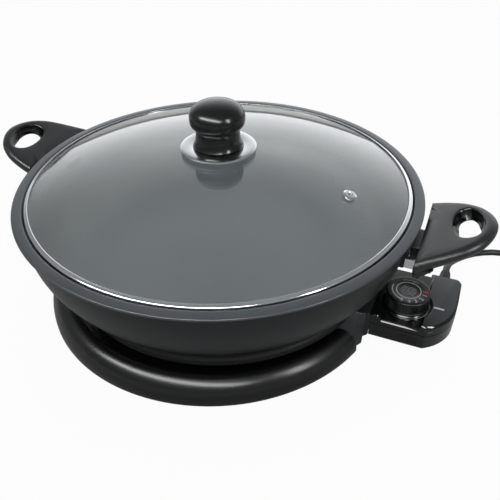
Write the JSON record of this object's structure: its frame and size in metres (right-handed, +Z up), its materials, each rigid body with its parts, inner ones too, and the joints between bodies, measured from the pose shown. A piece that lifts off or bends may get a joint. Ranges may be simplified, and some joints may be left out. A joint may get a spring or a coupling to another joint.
{
  "type": "electric wok",
  "caption": "Shallow round electric wok on a moulded base, with loop handles, a lift-off domed glass lid and a pull-out control plug with dial and coiled cord.",
  "frame": {"origin": "on the wok's vertical axis, in the plane of the rubber ring it stands on", "axes": "+Z up, +X towards the right handle and the control plug, +Y towards the back"},
  "size_m": [0.6246, 0.37, 0.1955],
  "materials": {
    "pan_alloy": "satin charcoal non-stick coating on cast aluminium",
    "element": "matt nickel steel sheath",
    "contacts": "plain",
    "pins": "bright nickel plate",
    "shield": "satin dark grey",
    "base_plastic": "satin black moulding",
    "foot_rubber": "matt",
    "steel": "plain",
    "handle_plastic": "pebbled matt phenolic",
    "bracket_steel": "brushed",
    "glass": "clear",
    "band_steel": "polished",
    "knob_plastic": "gloss black phenolic",
    "control_plastic": "gloss black",
    "nose_plastic": "matt phenolic",
    "ceramic": "glazed ceramic block",
    "dial_plastic": "satin black",
    "mark_silver": "silver",
    "cord_rubber": "smooth matt"
  },
  "bodies": {
    "base": {"pan": "pan_alloy", "heating_element": "element", "terminal_straps": "contacts", "contact_pins": "pins", "probe_sleeve": "element", "heat_shield": "shield", "base_ring": "base_plastic", "foot_ring": "foot_rubber", "base_screws": "steel", "socket_guard": "base_plastic", "right_handle": "handle_plastic", "left_handle": "handle_plastic", "right_bracket": "bracket_steel", "left_bracket": "bracket_steel", "handle_screws": "steel", "bracket_rivets": "steel"},
    "lid": {"lid_glass": "glass", "lid_band": "band_steel", "vent_eyelet": "band_steel", "knob_disc": "band_steel", "knob_gasket": "foot_rubber", "lid_knob": "knob_plastic", "knob_screw": "steel", "knob_washer": "foot_rubber"},
    "control": {"control_lower": "control_plastic", "control_upper": "control_plastic", "contact_nose": "nose_plastic", "contact_sleeves": "contacts", "probe_rod": "steel", "thermostat": "ceramic", "dial_ring": "band_steel", "pointer_mark": "mark_silver", "case_screws": "steel", "strain_relief": "cord_rubber", "cord_run": "cord_rubber", "cord_coil": "cord_rubber", "cord_tie": "cord_rubber", "mains_plug": "cord_rubber", "mains_pins": "pins"},
    "dial": {"dial": "dial_plastic", "dial_shaft": "steel"}
  },
  "joints": [
    {"name": "lid_lift", "type": "slide", "parent": "base", "child": "lid", "axis": [0, 0, 1], "range_m": [0, 0.08]},
    {"name": "control_pull", "type": "slide", "parent": "base", "child": "control", "axis": [1, 0, 0], "range_m": [0, 0.1]},
    {"name": "dial_turn", "type": "hinge", "parent": "control", "child": "dial", "pos_m": [0.186, -0.01, 0.045], "axis": [0, 0, 1], "range_deg": [0, 270]}
  ]
}
